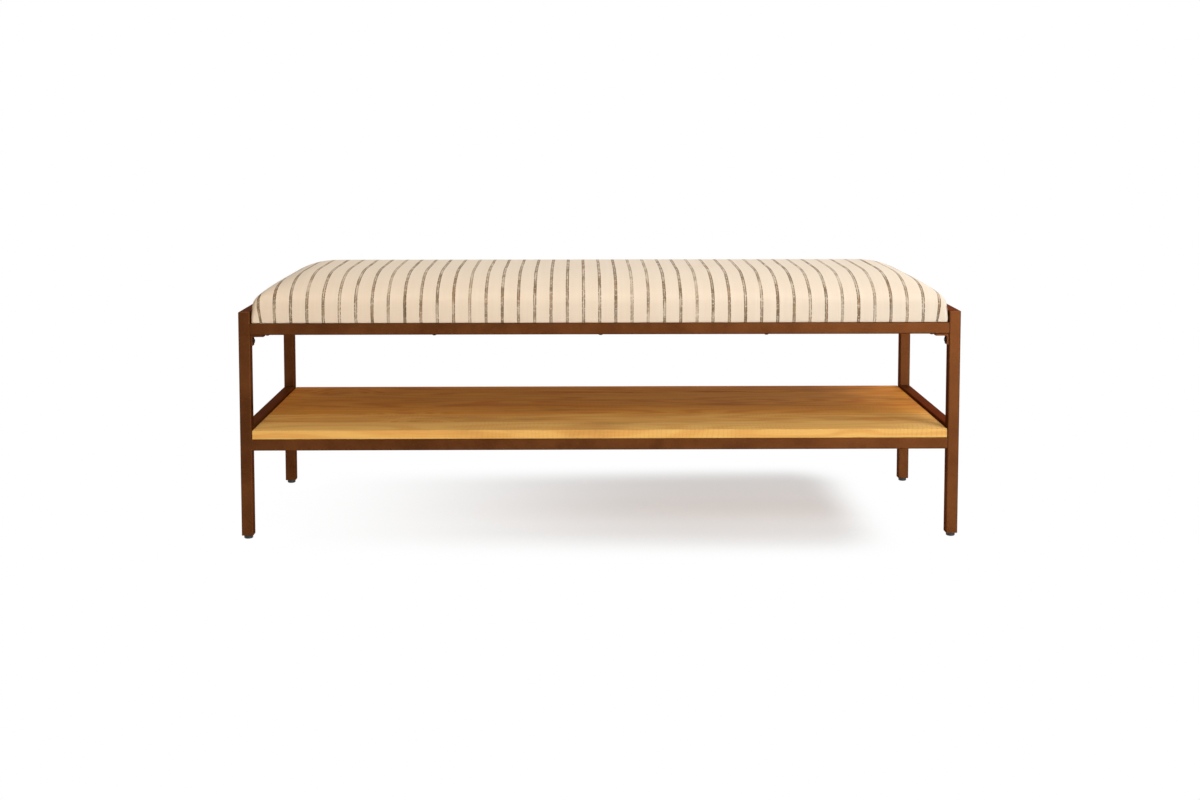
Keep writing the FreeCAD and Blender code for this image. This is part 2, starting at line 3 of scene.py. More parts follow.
import bmesh
import bpy
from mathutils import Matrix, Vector


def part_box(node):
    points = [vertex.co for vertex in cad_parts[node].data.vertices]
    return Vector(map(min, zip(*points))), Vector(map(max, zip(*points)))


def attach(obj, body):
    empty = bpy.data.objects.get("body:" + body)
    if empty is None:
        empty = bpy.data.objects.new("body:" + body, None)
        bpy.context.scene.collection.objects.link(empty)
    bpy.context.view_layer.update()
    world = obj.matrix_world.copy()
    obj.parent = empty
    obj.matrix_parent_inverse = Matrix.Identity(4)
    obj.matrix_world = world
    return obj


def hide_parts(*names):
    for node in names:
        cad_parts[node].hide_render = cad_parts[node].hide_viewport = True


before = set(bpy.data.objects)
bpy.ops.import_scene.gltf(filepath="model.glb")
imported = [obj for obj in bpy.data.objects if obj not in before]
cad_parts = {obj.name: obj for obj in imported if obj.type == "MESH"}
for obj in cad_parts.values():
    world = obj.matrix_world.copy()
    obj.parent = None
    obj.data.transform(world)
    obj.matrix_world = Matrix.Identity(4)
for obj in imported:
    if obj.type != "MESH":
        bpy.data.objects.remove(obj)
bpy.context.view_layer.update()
scene = bpy.context.scene


# Legs and rails. Square steel tube of 22 mm, mitred or butted and welded into two end frames that the
# long rails join. The welds are ground flush, and the whole frame is sprayed a metallic copper brown.

def shader_node(tree, kind, values=None, **settings):
    """Adds a node, applies its settings, and links or sets the sockets that are given."""
    made = tree.nodes.new(kind)
    for name, setting in settings.items():
        setattr(made, name, setting)
    for socket, value in (values or {}).items():
        if isinstance(value, bpy.types.NodeSocket):
            tree.links.new(value, made.inputs[socket])
        else:
            made.inputs[socket].default_value = value
    return made


def calc(tree, operation, first, second=0.0, third=0.0):
    made = shader_node(tree, "ShaderNodeMath", {0: first, 1: second, 2: third}, operation=operation)
    return made.outputs[0]


def span(tree, value, low, high, to_low=0.0, to_high=1.0):
    """Carries a value smoothly from one range to another, and holds it at the ends."""
    ends = {"Value": value, "From Min": low, "From Max": high, "To Min": to_low, "To Max": to_high}
    made = shader_node(tree, "ShaderNodeMapRange", ends, interpolation_type="SMOOTHSTEP")
    return made.outputs["Result"]


def mix_colour(tree, share, first, second):
    """Mixes two colours. The node has sockets for every kind of value, so they go by number."""
    made = shader_node(tree, "ShaderNodeMix", {0: share, 6: first, 7: second}, data_type="RGBA")
    return made.outputs[2]


def stretch(tree, vector, factors):
    made = shader_node(tree, "ShaderNodeVectorMath", {0: vector, 1: factors}, operation="MULTIPLY")
    return made.outputs[0]


def cloud(tree, vector, scale=1.0, detail=2.0, roughness=0.5):
    values = {"Vector": vector, "Scale": scale, "Detail": detail, "Roughness": roughness}
    return shader_node(tree, "ShaderNodeTexNoise", values).outputs[0]


def object_place(tree):
    return shader_node(tree, "ShaderNodeTexCoord").outputs["Object"]


def bump(tree, height, strength, distance, normal=None):
    values = {"Height": height, "Strength": strength, "Distance": distance}
    if normal is not None:
        values["Normal"] = normal
    return shader_node(tree, "ShaderNodeBump", values).outputs["Normal"]


def colour(red, green, blue):
    """Turns screen levels of 0 to 255 into the linear colour that a shader takes."""
    def linear(level):
        share = level / 255
        return share / 12.92 if share <= 0.04045 else ((share + 0.055) / 1.055) ** 2.4
    return (linear(red), linear(green), linear(blue), 1.0)


def new_material(name, constants):
    material = bpy.data.materials.new(name)
    material.use_nodes = True
    tree = material.node_tree
    tree.nodes.clear()
    shader = shader_node(tree, "ShaderNodeBsdfPrincipled", constants)
    shader_node(tree, "ShaderNodeOutputMaterial", {"Surface": shader.outputs["BSDF"]})
    return material, tree, shader


def new_group(name, inputs, outputs):
    tree = bpy.data.node_groups.new(name, "ShaderNodeTree")
    for label, kind in inputs:
        tree.interface.new_socket(name=label, in_out="INPUT", socket_type="NodeSocket" + kind)
    for label, kind in outputs:
        tree.interface.new_socket(name=label, in_out="OUTPUT", socket_type="NodeSocket" + kind)
    return tree, tree.nodes.new("NodeGroupInput"), tree.nodes.new("NodeGroupOutput")


def place_group(tree, group, values):
    return shader_node(tree, "ShaderNodeGroup", values, node_tree=group).outputs


def feed(tree, owner, sockets):
    for name, value in sockets.items():
        tree.links.new(value, owner.inputs[name])


def dress(material, names):
    """Gives pieces of the frame a finish."""
    for name in names:
        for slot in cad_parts[name].material_slots:
            slot.material = material


edge_wear, entry, leave = new_group(
    "edge_wear",
    [("Vector", "Vector"), ("Width", "Float"), ("Patch Scale", "Float")],
    [("Wear", "Float"), ("Edge", "Float"), ("Soft Normal", "Vector")])
rounded = shader_node(edge_wear, "ShaderNodeBevel", {"Radius": entry.outputs["Width"]}, samples=6)
face_normal = shader_node(edge_wear, "ShaderNodeNewGeometry").outputs["True Normal"]
agreement = shader_node(edge_wear, "ShaderNodeVectorMath",
                        {0: rounded.outputs["Normal"], 1: face_normal}, operation="DOT_PRODUCT")
edge_mask = span(edge_wear, agreement.outputs["Value"], 0.995, 0.90)
patches = cloud(edge_wear, entry.outputs["Vector"], entry.outputs["Patch Scale"], detail=3.0)
rubbed = calc(edge_wear, "MULTIPLY", edge_mask, span(edge_wear, patches, 0.40, 0.62))
feed(edge_wear, leave, {"Wear": rubbed, "Edge": edge_mask, "Soft Normal": rounded.outputs["Normal"]})

paint_dark = colour(84, 47, 23)
paint_light = colour(102, 60, 31)
paint_flake = colour(144, 96, 62)
paint_rubbed = colour(190, 132, 90)
paint_glance = colour(170, 150, 140)
paint_edge_width = 0.0012
copper_paint, tree, shader = new_material("copper_paint", {
    "Metallic": 0.60, "Specular IOR Level": 0.0, "Specular Tint": paint_glance})
place = object_place(tree)
tube_edge = place_group(tree, edge_wear, {"Vector": place, "Width": paint_edge_width, "Patch Scale": 26.0})
mottle = cloud(tree, place, scale=16.0, detail=4.0, roughness=0.6)
flakes = cloud(tree, place, scale=520.0)
sprayed = mix_colour(tree, span(tree, mottle, 0.30, 0.72), paint_dark, paint_light)
flaked = mix_colour(tree, span(tree, flakes, 0.52, 0.78, to_high=0.22), sprayed, paint_flake)
rub_share = calc(tree, "MULTIPLY", tube_edge["Wear"], 0.45)
feed(tree, shader, {
    "Base Color": mix_colour(tree, rub_share, flaked, paint_rubbed),
    "Roughness": span(tree, mottle, 0.30, 0.70, to_low=0.44, to_high=0.54),
    "Normal": bump(tree, flakes, strength=0.10, distance=0.0004, normal=tube_edge["Soft Normal"])})

corners = ("front_left", "front_right", "back_left", "back_right")
dress(copper_paint, [corner + "_leg" for corner in corners])
dress(copper_paint, ["left_top_end_rail", "right_top_end_rail"])
dress(copper_paint, ["left_shelf_end_rail", "right_shelf_end_rail"])
dress(copper_paint, ["front_seat_rail", "back_seat_rail", "front_shelf_rail", "back_shelf_rail"])
dress(copper_paint, ["shelf_cross_bar_1", "shelf_cross_bar_2", "shelf_cross_bar_3"])


# Corner brackets with their bolts and nuts. Each bracket is a folded strip of 4 mm steel, sprayed with the
# frame, under the end of a seat rail; a dark button-head bolt holds it to a square nut inside the leg.

dress(copper_paint, [corner + "_bracket" for corner in corners])

oxide_dark = colour(16, 15, 14)
oxide_light = colour(36, 32, 30)
dark_screw, tree, shader = new_material("dark_screw", {"Metallic": 0.35, "Specular IOR Level": 0.25})
oxide = cloud(tree, object_place(tree), scale=190.0, detail=3.0)
feed(tree, shader, {
    "Base Color": mix_colour(tree, span(tree, oxide, 0.35, 0.65), oxide_dark, oxide_light),
    "Roughness": span(tree, oxide, 0.30, 0.70, to_low=0.30, to_high=0.46),
    "Normal": bump(tree, oxide, strength=0.08, distance=0.0003)})
dress(dark_screw, ["bracket_bolts"])

zinc_dark = colour(168, 166, 160)
zinc_light = colour(206, 204, 198)
bright_steel, tree, shader = new_material("bright_steel", {"Metallic": 1.0})
plating = cloud(tree, stretch(tree, object_place(tree), (1.0, 1.0, 6.0)), scale=160.0, detail=3.0)
feed(tree, shader, {
    "Base Color": mix_colour(tree, plating, zinc_dark, zinc_light),
    "Roughness": span(tree, plating, 0.30, 0.70, to_low=0.24, to_high=0.40),
    "Normal": bump(tree, plating, strength=0.06, distance=0.0003)})
dress(bright_steel, ["bracket_nuts"])


# Levelling feet. A moulded plug in the bottom of each leg takes the thread of a plated steel stud, and the
# flat head of the stud is held in a round black plastic pad that stands on the floor.

plastic_black = colour(10, 10, 10)
plastic_scuffed = colour(26, 25, 24)
black_plastic, tree, shader = new_material("black_plastic", {"Specular IOR Level": 0.5})
place = object_place(tree)
moulded_grain = cloud(tree, place, scale=900.0)
scuffs = cloud(tree, place, scale=70.0, detail=3.0)
feed(tree, shader, {
    "Base Color": mix_colour(tree, span(tree, scuffs, 0.45, 0.75), plastic_black, plastic_scuffed),
    "Roughness": span(tree, scuffs, 0.30, 0.70, to_low=0.38, to_high=0.58),
    "Normal": bump(tree, moulded_grain, strength=0.15, distance=0.0003)})
dress(black_plastic, [corner + "_leg_plug" for corner in corners])
dress(black_plastic, [corner + "_foot_pad" for corner in corners])
dress(bright_steel, [corner + "_foot_stud" for corner in corners])


# Shelf planks. Six softwood boards, 76 mm wide and 17 mm thick, planed on the face with the saw marks still
# faintly there, oiled golden brown, and screwed from below to three steel cross bars.

log_shift = (3.17, 1.71, 0.93)
knot_spacing = (3.2, 5.5, 2.0)
ring_stretch = (0.75, 8.0, 8.0)
ring_turns = 118.0
ring_bend = 0.16
fibre_stretch = (16.0, 620.0, 620.0)
saw_turns = 760.0
saw_wobble = 30.0
sawn_stretch = (3.0, 9.0, 9.0)
stain_stretch = (2.2, 7.0, 7.0)
plank_grain, entry, leave = new_group(
    "plank_grain",
    [("Vector", "Vector"), ("Shift", "Float")],
    [("Ring", "Float"), ("Fibre", "Float"), ("Knot", "Float"), ("Saw", "Float"), ("Stain", "Float")])
own_log = shader_node(plank_grain, "ShaderNodeVectorMath",
                      {0: log_shift, "Scale": entry.outputs["Shift"]}, operation="SCALE").outputs[0]
board = shader_node(plank_grain, "ShaderNodeVectorMath",
                    {0: entry.outputs["Vector"], 1: own_log}, operation="ADD").outputs[0]
branch = shader_node(plank_grain, "ShaderNodeTexVoronoi", {
    "Vector": stretch(plank_grain, board, knot_spacing), "Scale": 1.0, "Randomness": 1.0})
branch_lot = shader_node(plank_grain, "ShaderNodeSeparateColor", {"Color": branch.outputs["Color"]})
kept = span(plank_grain, branch_lot.outputs[0], 0.50, 0.52)
knot = calc(plank_grain, "MULTIPLY", span(plank_grain, branch.outputs["Distance"], 0.085, 0.035), kept)
swirl = calc(plank_grain, "MULTIPLY", span(plank_grain, branch.outputs["Distance"], 0.34, 0.02), kept)
growth = cloud(plank_grain, stretch(plank_grain, board, ring_stretch), roughness=0.45)
bent_growth = calc(plank_grain, "MULTIPLY_ADD", swirl, ring_bend, growth)
ring_wave = calc(plank_grain, "SINE", calc(plank_grain, "MULTIPLY", bent_growth, ring_turns))
ring = calc(plank_grain, "MULTIPLY_ADD", ring_wave, 0.5, 0.5)
fibre = cloud(plank_grain, stretch(plank_grain, board, fibre_stretch), detail=3.0, roughness=0.6)
along_board = shader_node(plank_grain, "ShaderNodeSeparateXYZ", {0: board}).outputs["X"]
even_stroke = calc(plank_grain, "MULTIPLY", along_board, saw_turns)
stroke = calc(plank_grain, "MULTIPLY_ADD", cloud(plank_grain, board, scale=9.0), saw_wobble, even_stroke)
teeth = span(plank_grain, calc(plank_grain, "SINE", stroke), 0.20, 0.95)
where_sawn = span(plank_grain, cloud(plank_grain, stretch(plank_grain, board, sawn_stretch)), 0.46, 0.66)
saw = calc(plank_grain, "MULTIPLY", teeth, where_sawn)
stain = cloud(plank_grain, stretch(plank_grain, board, stain_stretch), detail=4.0, roughness=0.62)
feed(plank_grain, leave, {"Ring": ring, "Fibre": fibre, "Knot": knot, "Saw": saw, "Stain": stain})

oil_stain = colour(150, 82, 38)
saw_mark = colour(112, 66, 34)
knot_wood = colour(74, 38, 18)
plank_edge_dark = colour(104, 56, 22)
plank_edge_width = 0.0018


def oiled_plank(name, shift, pale, deep):
    material, tree, shader = new_material(name, {"Specular IOR Level": 0.03})
    place = object_place(tree)
    grain = place_group(tree, plank_grain, {"Vector": place, "Shift": shift})
    edge = place_group(tree, edge_wear, {"Vector": place, "Width": plank_edge_width, "Patch Scale": 34.0})
    late_wood = calc(tree, "MULTIPLY_ADD", span(tree, grain["Ring"], 0.25, 1.0), 0.50,
                     span(tree, grain["Fibre"], 0.30, 0.75, to_high=0.50))
    bare = mix_colour(tree, late_wood, pale, deep)
    stained = mix_colour(tree, span(tree, grain["Stain"], 0.52, 0.72, to_high=0.45), bare, oil_stain)
    sawn = mix_colour(tree, calc(tree, "MULTIPLY", grain["Saw"], 0.07), stained, saw_mark)
    knotted = mix_colour(tree, calc(tree, "MULTIPLY", grain["Knot"], 0.85), sawn, knot_wood)
    # Every edge of each plank is darkened, the joints between the boards among them.
    edge_darkened = mix_colour(tree, calc(tree, "MULTIPLY", edge["Edge"], 0.70), knotted, plank_edge_dark)
    raised = calc(tree, "MULTIPLY_ADD", grain["Ring"], -0.35, grain["Fibre"])
    relief = calc(tree, "SUBTRACT", raised, calc(tree, "MULTIPLY", grain["Saw"], 0.2))
    feed(tree, shader, {
        "Base Color": edge_darkened,
        "Roughness": span(tree, grain["Fibre"], 0.25, 0.80, to_low=0.62, to_high=0.80),
        "Normal": bump(tree, relief, strength=0.35, distance=0.0006, normal=edge["Soft Normal"])})
    return material


# The tones run paler at the front and darker and redder towards the back; the darkening is partly painted
# shade from the seat above.
plank_tones_with_painted_shade = (
    (colour(253, 204, 120), colour(238, 176, 96)),
    (colour(251, 193, 105), colour(227, 153, 73)),
    (colour(250, 176, 76), colour(226, 136, 54)),
    (colour(247, 169, 70), colour(218, 126, 46)),
    (colour(248, 171, 72), colour(220, 129, 48)),
    (colour(240, 158, 62), colour(208, 116, 41)),
)
first_shift = 1.0
shift_per_plank = 1.37
for number, (pale, deep) in enumerate(plank_tones_with_painted_shade, 1):
    finish = oiled_plank(f"oiled_plank_{number}", first_shift + shift_per_plank * number, pale, deep)
    dress(finish, [f"shelf_plank_{number}"])
dress(dark_screw, ["shelf_screws"])


# Seat board. A 12 mm birch plywood panel with rounded corners that carries the stuffing; ten screws up
# through the seat rails bite into it.

birch_pale = colour(226, 196, 150)
birch_deep = colour(198, 160, 110)
glue_line = colour(160, 118, 74)
veneer_shift = 23.0
birch_ply, tree, shader = new_material("birch_ply", {"Specular IOR Level": 0.3})
place = object_place(tree)
veneer = place_group(tree, plank_grain, {"Vector": place, "Shift": veneer_shift})
layers = shader_node(tree, "ShaderNodeTexWave", {"Vector": place, "Scale": 130.0, "Distortion": 0.6},
                     wave_type="BANDS", bands_direction="Z").outputs[0]
face_veneer = mix_colour(tree, span(tree, veneer["Fibre"], 0.3, 0.8), birch_pale, birch_deep)
feed(tree, shader, {
    "Base Color": mix_colour(tree, span(tree, layers, 0.4, 0.9, to_high=0.35), face_veneer, glue_line),
    "Roughness": span(tree, veneer["Fibre"], 0.2, 0.8, to_low=0.55, to_high=0.75),
    "Normal": bump(tree, veneer["Fibre"], strength=0.2, distance=0.0004)})
dress(birch_ply, ["seat_board"])
dress(dark_screw, ["seat_screws"])


# Seat pad. A crowned foam block on the board under a cover of striped linen-like cloth, pulled down over the
# edges, pleated at the corners and stapled below. The stripes run from front to back, one near the middle.

pad_low, pad_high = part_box("seat_cover")
base_lift = 0.0002
pad_half_length = pad_high.x
pad_half_depth = pad_high.y
pad_base = pad_low.z + base_lift
wall_height = 0.031
crown = pad_high.z - pad_base - wall_height
run_end = 0.104
run_front = 0.168
end_fullness = 1.75
front_fullness = 2.4
least_rise = 1e-4
ridge_sharpness = 4
corner_radius_low = 0.005
corner_radius_high = 0.015
tuck = 0.0008
tuck_falloff = 6
cells_long = 112
cells_deep = 38
cells_high = 6
shoulder_cells_end = 11
shoulder_cells_front = 14
on_face = 0.999
same_place = 1e-6
no_length = 1e-9


def shoulder(share, fullness):
    inside = min(max(share, 0.0), 1.0)
    return max((1.0 - (1.0 - inside) ** fullness) ** (1.0 / fullness), least_rise)


def crown_height(x, y, half_length, half_depth):
    rise_end = shoulder((half_length - abs(x)) / run_end, end_fullness)
    rise_front = shoulder((half_depth - abs(y)) / run_front, front_fullness)
    joined = rise_end ** -ridge_sharpness + rise_front ** -ridge_sharpness - 1.0
    return crown * joined ** (-1 / ridge_sharpness)


def graded(share, half_size, run, shoulder_cells, cells):
    """Sets the grid lines close together on the rounded shoulder and evenly on the flat."""
    step = (1.0 - abs(share)) * cells / 2
    if step <= shoulder_cells:
        inset = run * (1.0 - math.cos(step / shoulder_cells * math.pi / 2))
    else:
        inset = run + (half_size - run) * (step - shoulder_cells) / (cells / 2 - shoulder_cells)
    return math.copysign(half_size - inset, share)


def plan_point(spot, half_length, half_depth):
    x = graded(spot.x, half_length, run_end, shoulder_cells_end, cells_long)
    y = graded(spot.y, half_depth, run_front, shoulder_cells_front, cells_deep)
    return x, y


def round_corner(x, y, half_length, half_depth, radius):
    core_x = min(max(x, radius - half_length), half_length - radius)
    core_y = min(max(y, radius - half_depth), half_depth - radius)
    off_x = x - core_x
    off_y = y - core_y
    length = math.hypot(off_x, off_y)
    if length < no_length:
        return x, y
    scale = max(abs(off_x), abs(off_y)) / length
    return core_x + off_x * scale, core_y + off_y * scale


def pad_point(spot):
    """Carries a point of a cube that is two units wide to its place on the pad."""
    up = (spot.z + 1.0) / 2
    inset = tuck * (1.0 - up) ** tuck_falloff
    half_length = pad_half_length - inset
    half_depth = pad_half_depth - inset
    x, y = plan_point(spot, half_length, half_depth)
    z = pad_base + wall_height * up
    if spot.z > on_face:
        z += crown_height(x, y, half_length, half_depth)
    radius = corner_radius_low + (corner_radius_high - corner_radius_low) * up
    x, y = round_corner(x, y, half_length, half_depth, radius)
    return Vector((x, y, z))


def cloth_length(position, other, along_x):
    """Length of cloth from the middle of the pad to a point on its top, measured over the crown."""
    steps = 36
    total = 0.0
    last = None
    for step in range(steps + 1):
        reach = abs(position) * math.sin(step / steps * math.pi / 2)
        x, y = (reach, other) if along_x else (other, reach)
        height = crown_height(x, y, pad_half_length, pad_half_depth)
        if last:
            total += math.hypot(reach - last[0], height - last[1])
        last = (reach, height)
    return math.copysign(total, position)


pad_form = bmesh.new()
bmesh.ops.create_cube(pad_form, size=2.0)
for axis, cells in enumerate((cells_long, cells_deep, cells_high)):
    runs = [edge for edge in pad_form.edges
            if abs(edge.verts[0].co[axis] - edge.verts[1].co[axis]) > same_place]
    bmesh.ops.subdivide_edges(pad_form, edges=runs, cuts=cells - 1, use_grid_fill=True)
pad_form.normal_update()
pad_form.verts.ensure_lookup_table()
spots = [vert.co.copy() for vert in pad_form.verts]

corner_pull = 0.012
corner_pull_reach = 0.050
cloth_cut = pad_form.loops.layers.uv.new("cloth_cut")
over_crown = {}
for face in pad_form.faces:
    face.smooth = True
    side = max(range(3), key=lambda axis: abs(face.normal[axis]))
    for loop in face.loops:
        spot = spots[loop.vert.index]
        key = (round(spot.x, 5), round(spot.y, 5))
        if key not in over_crown:
            x, y = plan_point(spot, pad_half_length, pad_half_depth)
            over_crown[key] = (cloth_length(x, y, True), cloth_length(y, x, False))
        cut_x, cut_y = over_crown[key]
        drop = wall_height * (1.0 - spot.z) / 2
        # Side 0 is an end wall, and side 1 the front or back, where the pleats pull the cloth aside.
        if side == 0:
            cut_x += math.copysign(drop, spot.x)
        elif side == 1:
            cut_y += math.copysign(drop, spot.y)
            near_end = (abs(cut_x) - pad_half_length + corner_pull_reach) / corner_pull_reach
            corner_share = min(max(near_end, 0.0), 1.0)
            cut_x += math.copysign(corner_pull * corner_share ** 2 * drop / wall_height, cut_x)
        loop[cloth_cut].uv = (cut_x, cut_y)

board_share = 0.45
swell = 0.004
swell_least = 0.0034
swell_cap = 0.005
settling_steps = 6
stuffing_steps = 20


def above_board(spot):
    """Share of the wall above the edge of the board: 0 beside the board, 1 at the top of the wall."""
    return max((spot.z + 1.0) / 2 - board_share, 0.0) / (1.0 - board_share)


for vert in pad_form.verts:
    vert.co = pad_point(spots[vert.index])
bmesh.ops.recalc_face_normals(pad_form, faces=pad_form.faces)
pad_form.normal_update()
for vert, normal in [(vert, vert.normal.copy()) for vert in pad_form.verts]:
    vert.co -= normal * swell * above_board(spots[vert.index])
pad_mesh = bpy.data.meshes.new("seat_pad")
pad_form.to_mesh(pad_mesh)
pad_form.free()
seat_pad = bpy.data.objects.new("seat_pad", pad_mesh)
scene.collection.objects.link(seat_pad)

# The foam presses the cover outwards from the smaller shape, with its hem held. The swell is capped, then
# evened out over neighbouring points.
hem = seat_pad.vertex_groups.new(name="hem")
hem.add([index for index, spot in enumerate(spots) if spot.z < -on_face], 1.0, "REPLACE")
stuffing = seat_pad.modifiers.new("stuffing", "CLOTH")
stuffing.settings.quality = 5
stuffing.settings.mass = 0.3
stuffing.settings.tension_stiffness = 15
stuffing.settings.compression_stiffness = 15
stuffing.settings.shear_stiffness = 5
stuffing.settings.bending_stiffness = 0.5
stuffing.settings.use_pressure = True
stuffing.settings.uniform_pressure_force = 4
stuffing.settings.vertex_group_mass = "hem"
stuffing.settings.effector_weights.gravity = 0
for step in range(1, stuffing_steps + 1):
    scene.frame_set(step)
swollen = seat_pad.evaluated_get(bpy.context.evaluated_depsgraph_get())
swollen_places = [vert.co.copy() for vert in swollen.to_mesh().vertices]
swollen.to_mesh_clear()
seat_pad.modifiers.remove(stuffing)
scene.frame_set(1)
outward = []
for vert, swollen_place in zip(pad_mesh.vertices, swollen_places):
    bulge = max((swollen_place - vert.co).dot(vert.normal), 0.0)
    outward.append(max(swell_cap * math.tanh(bulge / swell_cap), swell_least))
neighbours = [[] for vert in pad_mesh.vertices]
for edge in pad_mesh.edges:
    first, second = edge.vertices
    neighbours[first].append(second)
    neighbours[second].append(first)
for step in range(settling_steps):
    outward = [(bulge + sum(outward[other] for other in near)) / (len(near) + 1)
               for bulge, near in zip(outward, neighbours)]
normals = [vert.normal.copy() for vert in pad_mesh.vertices]
for vert, normal, bulge, spot in zip(pad_mesh.vertices, normals, outward, spots):
    vert.co += normal * bulge * above_board(spot)
seat_pad.vertex_groups.remove(hem)

# The fixed hem pulls small puckers along the lower edge, and the spare cloth of each corner is folded into
# a pleat. Between the end rails the wall has hardly any room to bulge.
pucker_depth = 0.0014
pucker_pitch = 0.052
pucker_fade = 0.016
pucker_margin = 0.03
pleat_depth = 0.0030
pleat_width = 0.0045
pleat_inset = 0.015
pleat_lean = 0.25
pleat_reach = 0.03
pleat_height = 0.062
end_rail_height = 0.024
end_rail_room = 0.0004
for vert, spot in zip(pad_mesh.vertices, spots):
    if spot.z < -on_face:
        continue
    above = vert.co.z - pad_base
    on_front = abs(spot.y) > on_face
    if on_front and abs(vert.co.x) < pad_half_length - pucker_margin:
        pull = math.exp(-above / pucker_fade) * math.cos(vert.co.x / pucker_pitch * 2 * math.pi)
        vert.co.y -= math.copysign(pucker_depth * max(pull, 0.0), vert.co.y)
    if on_front or spot.z > on_face:
        from_end = pad_half_length - abs(vert.co.x)
        from_front = max(pad_half_depth - abs(vert.co.y), 0.0)
        from_fold = from_end - pleat_inset - pleat_lean * above
        groove = math.exp(-(from_fold / pleat_width) ** 2) * math.exp(-(from_front / pleat_reach) ** 2)
        fade = max(0.0, 1.0 - above / pleat_height)
        vert.co.y -= math.copysign(pleat_depth * groove * fade, vert.co.y)
    if above < end_rail_height:
        limit = pad_half_length + end_rail_room
        vert.co.x = min(max(vert.co.x, -limit), limit)
pad_mesh.update()

finer = seat_pad.modifiers.new("finer", "SUBSURF")
finer.levels = 1
finer.render_levels = 1

warp_stretch = (760.0, 34.0, 1.0)
weft_stretch = (34.0, 760.0, 1.0)
cloth_weave, entry, leave = new_group(
    "cloth_weave",
    [("Vector", "Vector"), ("Thread", "Float")],
    [("Relief", "Float"), ("Slub", "Float"), ("Soil", "Float")])
cut_vector = entry.outputs["Vector"]
cut_axes = shader_node(cloth_weave, "ShaderNodeSeparateXYZ", {0: cut_vector})
turns = calc(cloth_weave, "DIVIDE", 2 * math.pi, entry.outputs["Thread"])
warp = calc(cloth_weave, "SINE", calc(cloth_weave, "MULTIPLY", cut_axes.outputs["X"], turns))
weft = calc(cloth_weave, "SINE", calc(cloth_weave, "MULTIPLY", cut_axes.outputs["Y"], turns))
crossing = calc(cloth_weave, "MULTIPLY", warp, weft)
thick_warp = cloud(cloth_weave, stretch(cloth_weave, cut_vector, warp_stretch))
thick_weft = cloud(cloth_weave, stretch(cloth_weave, cut_vector, weft_stretch))
feed(cloth_weave, leave, {
    "Relief": calc(cloth_weave, "MULTIPLY_ADD", crossing, 0.5, 0.5),
    "Slub": calc(cloth_weave, "MULTIPLY", calc(cloth_weave, "ADD", thick_warp, thick_weft), 0.5),
    "Soil": cloud(cloth_weave, cut_vector, scale=7.0, detail=3.0, roughness=0.55)})

linen_low = colour(240, 225, 206)
linen_high = colour(243, 229, 212)
linen_streak = colour(246, 233, 217)
linen_soiled = colour(224, 202, 172)
yarn_darkest = colour(66, 47, 26)
yarn_dark = colour(110, 82, 52)
yarn_mid = colour(104, 79, 49)
yarn_pale = colour(158, 122, 82)
thread_pitch = 0.0016
stripe_pitch = 0.0308
stripe_shift = 0.0019
stripe_wander = 0.0014
stripe_half = 0.0029
stripe_ragged = 0.0018
stripe_core = 0.0008
edge_thread = 0.0022
thread_half = 0.0010
stripe_stride = 5.13
streak_stretch = (95.0, 2.5, 1.0)
wander_stretch = (24.0, 9.0, 1.0)
striped_cloth, tree, shader = new_material("striped_cloth", {
    "Specular IOR Level": 0.18, "Sheen Weight": 0.12, "Sheen Roughness": 0.5})
cut_place = shader_node(tree, "ShaderNodeUVMap", uv_map="cloth_cut").outputs["UV"]
weave = place_group(tree, cloth_weave, {"Vector": cut_place, "Thread": thread_pitch})
axes = shader_node(tree, "ShaderNodeSeparateXYZ", {0: cut_place})
wander = cloud(tree, stretch(tree, cut_place, wander_stretch))
wandered = calc(tree, "MULTIPLY_ADD", wander, stripe_wander, stripe_shift - stripe_wander / 2)
stripe_count = calc(tree, "DIVIDE", calc(tree, "ADD", axes.outputs["X"], wandered), stripe_pitch)
stripe_cell = calc(tree, "ADD", stripe_count, 0.5)
stripe_number = calc(tree, "FLOOR", stripe_cell)
cell_share = calc(tree, "SUBTRACT", calc(tree, "FRACT", stripe_cell), 0.5)
offset = calc(tree, "MULTIPLY", cell_share, stripe_pitch)
from_middle = calc(tree, "ABSOLUTE", offset)


def along_stripe(lane, repeats):
    """A random value that changes along each stripe and differs from stripe to stripe."""
    spot = shader_node(tree, "ShaderNodeCombineXYZ", {
        "X": calc(tree, "MULTIPLY_ADD", stripe_number, stripe_stride, lane),
        "Y": calc(tree, "MULTIPLY", axes.outputs["Y"], repeats)}).outputs["Vector"]
    return cloud(tree, spot, roughness=0.6)


ragged = calc(tree, "MULTIPLY_ADD", along_stripe(1.3, 240.0), stripe_ragged, -stripe_ragged / 2)
band = span(tree, calc(tree, "ADD", from_middle, ragged), stripe_half, stripe_half * 0.75)
band_tone = span(tree, along_stripe(0.4, 22.0), 0.34, 0.62, to_low=0.36, to_high=0.88)
core = span(tree, from_middle, edge_thread, stripe_core)
core_fleck = calc(tree, "MULTIPLY", core, span(tree, along_stripe(4.6, 260.0), 0.54, 0.66))
flecked_band = calc(tree, "MULTIPLY", band, calc(tree, "MULTIPLY_ADD", core_fleck, -0.60, 1.0))
stripe_mood = shader_node(tree, "ShaderNodeTexWhiteNoise", {"W": stripe_number},
                          noise_dimensions="1D").outputs["Value"]
threads = 0.0
for lane in (-1, 1):
    from_thread = calc(tree, "ABSOLUTE", calc(tree, "SUBTRACT", offset, lane * edge_thread))
    line = span(tree, from_thread, thread_half, thread_half * 0.35)
    short_gaps = span(tree, along_stripe(3.0 + 1.9 * lane, 210.0), 0.36, 0.52, to_low=0.15)
    long_gaps = span(tree, along_stripe(9.0 + 2.3 * lane, 13.0), 0.36, 0.54, to_low=0.35)
    broken_line = calc(tree, "MULTIPLY", line, calc(tree, "MULTIPLY", short_gaps, long_gaps))
    threads = calc(tree, "MAXIMUM", threads, broken_line)
